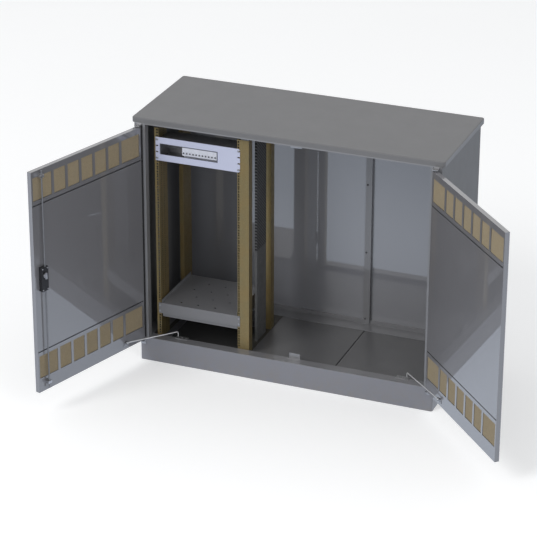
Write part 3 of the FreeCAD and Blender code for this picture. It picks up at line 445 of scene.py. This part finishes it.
def boltModel():
    bpy.ops.object.select_all(action="DESELECT")
    bpy.ops.mesh.primitive_cylinder_add(vertices=20, radius=bolts["washer"], depth=bolts["washerHigh"],
                                        location=(0, 0, bolts["washerHigh"] / 2))
    washer = bpy.context.object
    bpy.ops.mesh.primitive_cylinder_add(vertices=6, radius=bolts["head"], depth=bolts["headHigh"],
                                        location=(0, 0, bolts["washerHigh"] + bolts["headHigh"] / 2))
    head = bpy.context.object
    for piece in (washer, head):
        bevelled(piece, bolts["bevel"])
    model = joined([washer, head])
    bpy.ops.object.transform_apply(location=True, rotation=True, scale=True)
    bpy.ops.object.shade_smooth_by_angle(angle=math.radians(bolts["smooth"]))
    return model


def boltRow(name, spots, direction, body, scale=1.0, turn=None, finish="galvanised"):
    aim = Vector(direction).to_track_quat("Z", "Y").to_matrix().to_4x4()
    copies = []
    for spot in spots:
        copy = bolt.copy()
        copy.data = bolt.data.copy()
        bpy.context.scene.collection.objects.link(copy)
        copy.matrix_world = Matrix.Translation(Vector(spot)) @ aim @ Matrix.Scale(scale, 4)
        copies.append(copy)
    joined(copies)
    return settle(name, finishes[finish], body, turn)


def grid(across, depth, heights):
    return [(x, depth, z) for x in across for z in heights]


def rackBolts():
    low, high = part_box("breaker_panel")
    middle = (low.z + high.z) / 2
    heights = [middle + rise for rise in (-places["panelRise"], places["panelRise"])]
    boltRow("panel_bolts", grid(places["rack"], low.y, heights), (0, -1, 0), "cabinet")
    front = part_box("equipment_shelf")[0].y
    boltRow("shelf_bolts", grid(places["rack"], front, places["shelf"]), (0, -1, 0), "cabinet")


def frameBolts():
    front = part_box("door_stop_tabs")[0].y
    tabs = grid(places["tabs"], front, places["tabHeights"])
    boltRow("tab_bolts", tabs, (0, -1, 0), "cabinet", small)
    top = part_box("stay_sockets")[1].z
    sockets = grid(places["sockets"], places["socketRow"], [top])
    boltRow("socket_bolts", sockets, (0, 0, 1), "cabinet", small)
    bracket, step = places["bracket"], places["bracketStep"]
    legs = [x + shift for x in (-bracket, bracket) for shift in (-step, step)]
    feet = grid(legs, places["bracketFront"], [places["bracketHeight"]])
    boltRow("bracket_bolts", feet, (0, -1, 0), "cabinet", small)


def doorBolts():
    low, high = localBox("lock_case", "left_door")
    inset, end = places["caseSide"], places["caseEnd"]
    corners = grid((low.x + inset, high.x - inset), high.y, (low.z + end, high.z - end))
    boltRow("case_bolts", corners, (0, 1, 0), "left_door", fine, doorFrame("left_door"), "lock_metal")
    for side in ("left", "right"):
        low, high = localBox(f"{side}_stay_bracket", f"{side}_door")
        middle = (low.x + high.x) / 2
        across = [middle + step for step in (-places["footStep"], places["footStep"])]
        feet = grid(across, low.y + places["footDeep"], [low.z + places["footRise"]])
        boltRow(f"{side}_foot_bolts", feet, (0, 1, 0), f"{side}_door", fine, doorFrame(f"{side}_door"))


bolt = boltModel()
rackBolts()
frameBolts()
doorBolts()
bpy.data.objects.remove(bolt)
print("bolts made")


# Toggle levers of the breaker modules: tilted and bevelled, one to a module.
toggles = {"width": 0.006, "high": 0.008, "deep": 0.007, "drop": 0.009, "tilt": 0.35, "bevel": 0.0012,
           "sunk": 0.001, "module": 0.0175, "pitch": 0.018, "count": 11, "smooth": 35}


def lever(x, front, z):
    size = (toggles["width"], toggles["deep"], toggles["high"])
    made = block((x, front - toggles["deep"] / 2 + toggles["sunk"], z), size)
    bpy.ops.object.mode_set(mode="EDIT")
    bpy.ops.mesh.select_all(action="SELECT")
    bpy.ops.transform.rotate(value=toggles["tilt"], orient_axis="X", center_override=(x, front, z))
    bpy.ops.mesh.bevel(offset=toggles["bevel"], segments=2)
    bpy.ops.object.mode_set(mode="OBJECT")
    return made


def addLevers():
    low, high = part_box("breaker_row")
    first = low.x + toggles["module"] / 2
    z = (low.z + high.z) / 2 - toggles["drop"]
    joined([lever(first + n * toggles["pitch"], low.y, z) for n in range(toggles["count"])])
    bpy.ops.object.shade_smooth_by_angle(angle=math.radians(toggles["smooth"]))
    settle("breaker_levers", toggleBlack, "cabinet")


addLevers()
print("levers made")


# Cable plate between the right uprights: a solid slab as thick as sheet, whose holes are colour. Two cuts lie near
# its front and rear, and the extrusion moves the narrow strips of its left face outside these cuts by the reach,
# so its front and rear edges are as thick as sheet and reach together.
cablePlate = {"x": -0.2385, "front": -0.118, "rear": 0.012, "gap": 0.0005, "sheet": 0.0016, "reach": 0.012}


def addCablePlate():
    front, rear, sheet = cablePlate["front"], cablePlate["rear"], cablePlate["sheet"]
    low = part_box("rack_base_rails")[1].z + cablePlate["gap"]
    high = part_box("rack_top_rails")[0].z - cablePlate["gap"]
    middle = (cablePlate["x"], (front + rear) / 2, (low + high) / 2)
    plate = block(middle, (sheet, rear - front, high - low))
    bpy.ops.object.mode_set(mode="EDIT")
    for cut in (front + sheet, rear - sheet):
        bpy.ops.mesh.select_all(action="SELECT")
        bpy.ops.mesh.bisect(plane_co=(0, cut, 0), plane_no=(0, 1, 0))
    bpy.ops.mesh.select_all(action="DESELECT")
    bpy.ops.object.mode_set(mode="OBJECT")
    for face in plate.data.polygons:
        depths = [plate.data.vertices[v].co.y for v in face.vertices]
        face.select = face.normal.x < -0.9 and max(depths) - min(depths) < 2 * sheet
    bpy.ops.object.mode_set(mode="EDIT")
    bpy.ops.mesh.extrude_region_move(TRANSFORM_OT_translate={"value": (-cablePlate["reach"], 0, 0)})
    bpy.ops.object.mode_set(mode="OBJECT")
    settle("cable_plate", plateSteel, "cabinet")


addCablePlate()
print("cable plate made")


# Floor: pale, with a glow for what the camera sees, bluish in mirrors and dark grey below the cabinet as painted
# shade.
studio = {"wide": 90, "glow": 0.27, "halfWide": 0.835, "halfDeep": 0.325}


def paleFloor():
    ground = Finish("pale_floor")
    across = ground.within(ground.axis("X"), -studio["halfWide"], studio["halfWide"])
    shadedBelowCabinet = across * ground.within(ground.axis("Y"), -studio["halfDeep"], studio["halfDeep"])
    pale = ground.mix(ground.noise(0.4, 2.0), (0.9, 0.9, 0.9, 1), (0.93, 0.93, 0.93, 1))
    # painted shade: the floor below the cabinet is dark grey
    colour = ground.mix(shadedBelowCabinet, pale, (0.1, 0.1, 0.1, 1))
    ground.put(Base_Color=colour, Roughness=0.9, Specular_IOR_Level=0.1)
    glow = ground.mix(ground.seen() * (1 - shadedBelowCabinet), (0, 0, 0, 1), [studio["glow"]] * 3 + [1])
    ground.put(Emission_Color=glow, Emission_Strength=1.0)
    mirrored = ground.node("ShaderNodeLightPath", output="Is Glossy Ray") * (1 - shadedBelowCabinet)
    bluish = ground.node("ShaderNodeEmission", inputs={"Color": (0.84, 0.93, 1.08, 1), "Strength": 1.0})
    lit = Term(ground, ground.shader.outputs["BSDF"])
    surface = ground.node("ShaderNodeMixShader", inputs={0: mirrored, 1: lit, 2: bluish})
    ground.feed(ground.tree.nodes["Material Output"].inputs["Surface"], surface)
    return ground.material


bpy.ops.object.select_all(action="DESELECT")
bpy.ops.mesh.primitive_plane_add(size=studio["wide"], location=(0, 0, 0))
floor = bpy.context.object
floor.name = "floor"
floor.data.materials.append(paleFloor())


def makeWorld():
    world = bpy.data.worlds.new("studio")
    bpy.context.scene.world = world
    world.use_nodes = True
    air = Graph(world.node_tree)
    sky = air.node("ShaderNodeBackground", inputs={"Color": (0.97, 0.985, 1.0, 1), "Strength": 0.62})
    white = air.node("ShaderNodeBackground", inputs={"Color": (1, 1, 1, 1), "Strength": 1.0})
    both = air.node("ShaderNodeMixShader", inputs={0: air.seen(), 1: sky, 2: white})
    air.feed(air.tree.nodes["World Output"].inputs["Surface"], both)


lamps = {
    "key": {"place": (-5.5, -9.5, 9.0), "size": 6.0, "power": 620},
    "fill": {"place": (8.0, -7.0, 6.0), "size": 6.0, "power": 170},
}
target = Vector((0, -0.2, 0.7))


def addLamps():
    for name, lamp in lamps.items():
        data = bpy.data.lights.new(name, "AREA")
        data.shape = "DISK"
        data.size = lamp["size"]
        data.energy = lamp["power"]
        light = bpy.data.objects.new(name, data)
        bpy.context.scene.collection.objects.link(light)
        light.location = lamp["place"]
        light.rotation_euler = (target - light.location).to_track_quat("-Z", "Y").to_euler()


# Camera: place in metres, turn, down and roll in radians, lens in millimetres.
shot = {"place": (4.180, -11.1546, 5.9843), "turn": 0.37558, "down": 0.42828, "roll": -0.003,
        "lens": 162.3, "sensor": 36, "far": 200}


def addCamera():
    turn, down, roll = shot["turn"], shot["down"], shot["roll"]
    ahead = Vector((-math.sin(turn) * math.cos(down), math.cos(turn) * math.cos(down), -math.sin(down)))
    right = Vector((math.cos(turn), math.sin(turn), 0))
    lower = ahead.cross(right)
    across = math.cos(roll) * right + math.sin(roll) * lower
    upward = math.sin(roll) * right - math.cos(roll) * lower
    view = bpy.data.cameras.new("camera")
    view.lens = shot["lens"]
    view.sensor_width = shot["sensor"]
    view.clip_end = shot["far"]
    camera = bpy.data.objects.new("camera", view)
    bpy.context.scene.collection.objects.link(camera)
    axes = Matrix((across, upward, -ahead)).transposed().to_4x4()
    camera.matrix_world = Matrix.Translation(shot["place"]) @ axes
    bpy.context.scene.camera = camera


makeWorld()
addLamps()
addCamera()
bpy.context.scene.view_settings.view_transform = "Standard"
print("stage, lamps and camera made")
